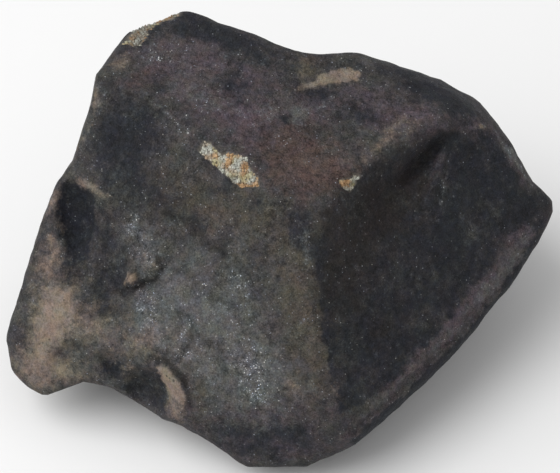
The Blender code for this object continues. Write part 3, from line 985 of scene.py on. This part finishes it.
crystals = (lying(grain_points(centres, grain_picker).reshape(-1, 3)) + HEART) * DRAWN_IN
each = np.arange(len(centres))[:, None, None] * len(ball)
grains = piece_from("bared_grains", crystals * MM, (ball_faces + each).reshape(-1, 4))
grains.data.shade_flat()
GRAIN_LOOKS = {
    "pale": grain_picker.random(len(centres)),
    "rusty": noise(centres / RUST_LUMP) + 0.5,
    "yellowed": noise(centres / YELLOW_LUMP, 7) + 0.5,
    "soot_and_shade": patches(centres, unit(centres), "soot_and_shade"),
}
for name, looks in GRAIN_LOOKS.items():
    give(grains, name, np.repeat(looks, len(ball)))


def grain_material():
    """Pale glassy minerals, from white to grey, turned orange and yellow where their iron has rusted."""
    material, tree, shader = new_material("bared_stone")
    pale = stored(tree, "pale")
    fine = noise_node(tree, millimetres(tree), size=0.12, detail=2.0)
    white = mix_colour(tree, pale, *WHITE_GRAINS)
    orange = mix_colour(tree, pale, *ORANGE_GRAINS)
    yellow = mix_colour(tree, pale, *YELLOW_GRAINS)
    yellowed = step_node(tree, stored(tree, "yellowed"), low=0.4, high=0.85)
    rusty = step_node(tree, stored(tree, "rusty"), low=0.35, high=0.8)
    colour = mix_colour(tree, rusty, mix_colour(tree, yellowed, white, yellow), orange)
    # Grains darker where soot and painted shade lie over the chip
    clean_and_lit = sloped(tree, stored(tree, "soot_and_shade"), slope=-0.5)
    colour = brightened(tree, colour, work(tree, "MULTIPLY", clean_and_lit, work(tree, "ADD", fine, 0.5)))
    tree.links.new(colour, shader.inputs["Base Color"])
    tree.links.new(sloped(tree, pale, slope=-0.2, start=0.6), shader.inputs["Roughness"])
    bump = add(tree, "ShaderNodeBump", {"Distance": MM, "Height": work(tree, "MULTIPLY", fine, 0.03)})
    tree.links.new(bump.outputs["Normal"], shader.inputs["Normal"])
    return material


grains.data.materials.append(grain_material())
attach(grains, "root")

# The floor, the light and the camera. A plain pale floor, a broad soft light from the left, and the
# camera where the photograph was taken from, looking down at 45 degrees.

# The floor's size in metres and its paint, the strength of the light from all round, the camera's lens
# and film in millimetres, and how far above the heart it aims, in millimetres
FLOOR_RADIUS = 1.5
FLOOR_GREY = 0.80
FLOOR_ROUGHNESS = 0.8
STUDIO_STRENGTH = 0.62
CAMERA_LENS = 160.7
FILM_WIDTH = 36.0
AIM_RAISED = 0.42


def disc(name, radius, rings, around):
    """A flat round sheet: rings of points at r (cos t, sin t, 0), joined by square faces.

    The innermost ring is filled by one face.
    """
    turns = np.arange(around) * math.tau / around
    r, t = np.meshgrid(np.linspace(0, radius, rings)[1:], turns, indexing="ij")
    points = np.stack([r * np.cos(t), r * np.sin(t), 0 * r], axis=-1).reshape(-1, 3)
    at = np.arange((rings - 1) * around).reshape(rings - 1, around)
    after = np.roll(at, -1, axis=1)
    faces = np.stack([at[:-1], at[1:], after[1:], after[:-1]], axis=-1).reshape(-1, 4)
    return piece_from(name, points, faces.tolist() + [at[0].tolist()])


floor = disc("floor", FLOOR_RADIUS, rings=4, around=64)
paint, _, paint_shader = new_material("pale_floor")
paint_shader.inputs["Base Color"].default_value = (FLOOR_GREY, FLOOR_GREY, FLOOR_GREY, 1)
paint_shader.inputs["Roughness"].default_value = FLOOR_ROUGHNESS
floor.data.materials.append(paint)

world = bpy.data.worlds.new("studio")
world.use_nodes = True
world.node_tree.nodes["Background"].inputs["Color"].default_value = (1, 1, 1, 1)
world.node_tree.nodes["Background"].inputs["Strength"].default_value = STUDIO_STRENGTH
bpy.context.scene.world = world


def soft_light(name, way, distance, size, power):
    """A square light shining at the stone from this way, face-on: metres away and wide, and watts."""
    lamp = bpy.data.lights.new(name, "AREA")
    lamp.size = size
    lamp.energy = power
    made = bpy.data.objects.new(name, lamp)
    bpy.context.scene.collection.objects.link(made)
    towards = Vector(lying(unit([way]))[0])
    made.location = Vector(HEART) * MM + towards * distance
    made.rotation_euler = towards.to_track_quat("Z", "Y").to_euler()


soft_light("key", way=(-0.62, 0.42, 0.66), distance=0.9, size=0.9, power=8.3)

camera = bpy.data.objects.new("camera", bpy.data.cameras.new("camera"))
bpy.context.scene.collection.objects.link(camera)
camera.data.lens = CAMERA_LENS
camera.data.sensor_width = FILM_WIDTH
camera.location = (lying([(0, AIM_RAISED, VIEW_DISTANCE)])[0] + HEART) * MM
camera.rotation_euler = (math.pi / 2 - LEAN, 0, 0)
bpy.context.scene.camera = camera
bpy.context.scene.view_settings.view_transform = "Standard"
